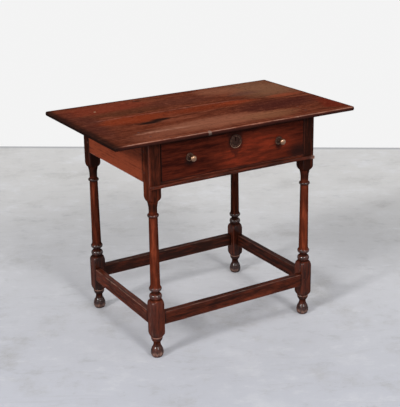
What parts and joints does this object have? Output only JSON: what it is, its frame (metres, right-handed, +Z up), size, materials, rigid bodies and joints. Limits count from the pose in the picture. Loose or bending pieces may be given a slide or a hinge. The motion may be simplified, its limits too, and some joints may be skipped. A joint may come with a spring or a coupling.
{
  "type": "tavern table",
  "caption": "Rectangular board top over a joined frame with a locking drawer, turned column legs on pear feet and a low box stretcher.",
  "frame": {"origin": "on the floor under the centre of the top", "axes": "+Z up, +X along the length of the top, the drawer opens towards -Y"},
  "size_m": [0.864, 0.512, 0.71],
  "materials": {
    "top_wood": "worn waxed cherry, satin",
    "leg_wood": "old shellac over maple, satin",
    "frame_wood": "old shellac over maple, satin",
    "front_wood": "old shellac, satin",
    "inner_wood": "bare aged pine",
    "peg_wood": "worn end grain",
    "brass": "tarnished",
    "iron": "dark wrought"
  },
  "bodies": {
    "frame": {"apron_back": "frame_wood", "apron_left": "frame_wood", "apron_pegs": "peg_wood", "apron_right": "frame_wood", "bead_brads": "iron", "drawer_guide_left": "inner_wood", "drawer_guide_right": "inner_wood", "drawer_rail": "frame_wood", "drawer_runner_left": "inner_wood", "drawer_runner_right": "inner_wood", "guide_nails": "iron", "leg_back_left": "leg_wood", "leg_back_right": "leg_wood", "leg_front_left": "leg_wood", "leg_front_right": "leg_wood", "rail_bead": "frame_wood", "stretcher_back": "frame_wood", "stretcher_front": "frame_wood", "stretcher_left": "frame_wood", "stretcher_pegs": "peg_wood", "stretcher_right": "frame_wood", "top_board_back": "top_wood", "top_board_front": "top_wood", "top_board_middle": "top_wood", "top_pegs": "peg_wood"},
    "drawer": {"drawer_front": "front_wood", "drawer_side_left": "inner_wood", "drawer_side_right": "inner_wood", "drawer_back": "inner_wood", "drawer_bottom_front": "inner_wood", "drawer_bottom_back": "inner_wood", "drawer_side_nails": "iron", "drawer_bottom_nails": "iron", "knob_left": "brass", "knob_right": "brass", "knob_rose_left": "brass", "knob_rose_right": "brass", "knob_nuts": "brass", "escutcheon": "brass", "escutcheon_pins": "brass", "lock_plate": "iron", "lock_case": "iron", "lock_key_pin": "iron", "lock_spring": "iron", "lock_screws": "iron"},
    "bolt": {"lock_bolt": "iron"}
  },
  "joints": [
    {"name": "drawer_slide", "type": "slide", "parent": "frame", "child": "drawer", "axis": [0, -1, 0], "range_m": [0, 0.3]},
    {"name": "bolt_throw", "type": "slide", "parent": "drawer", "child": "bolt", "axis": [0, 0, 1], "range_m": [0, 0.006]}
  ]
}
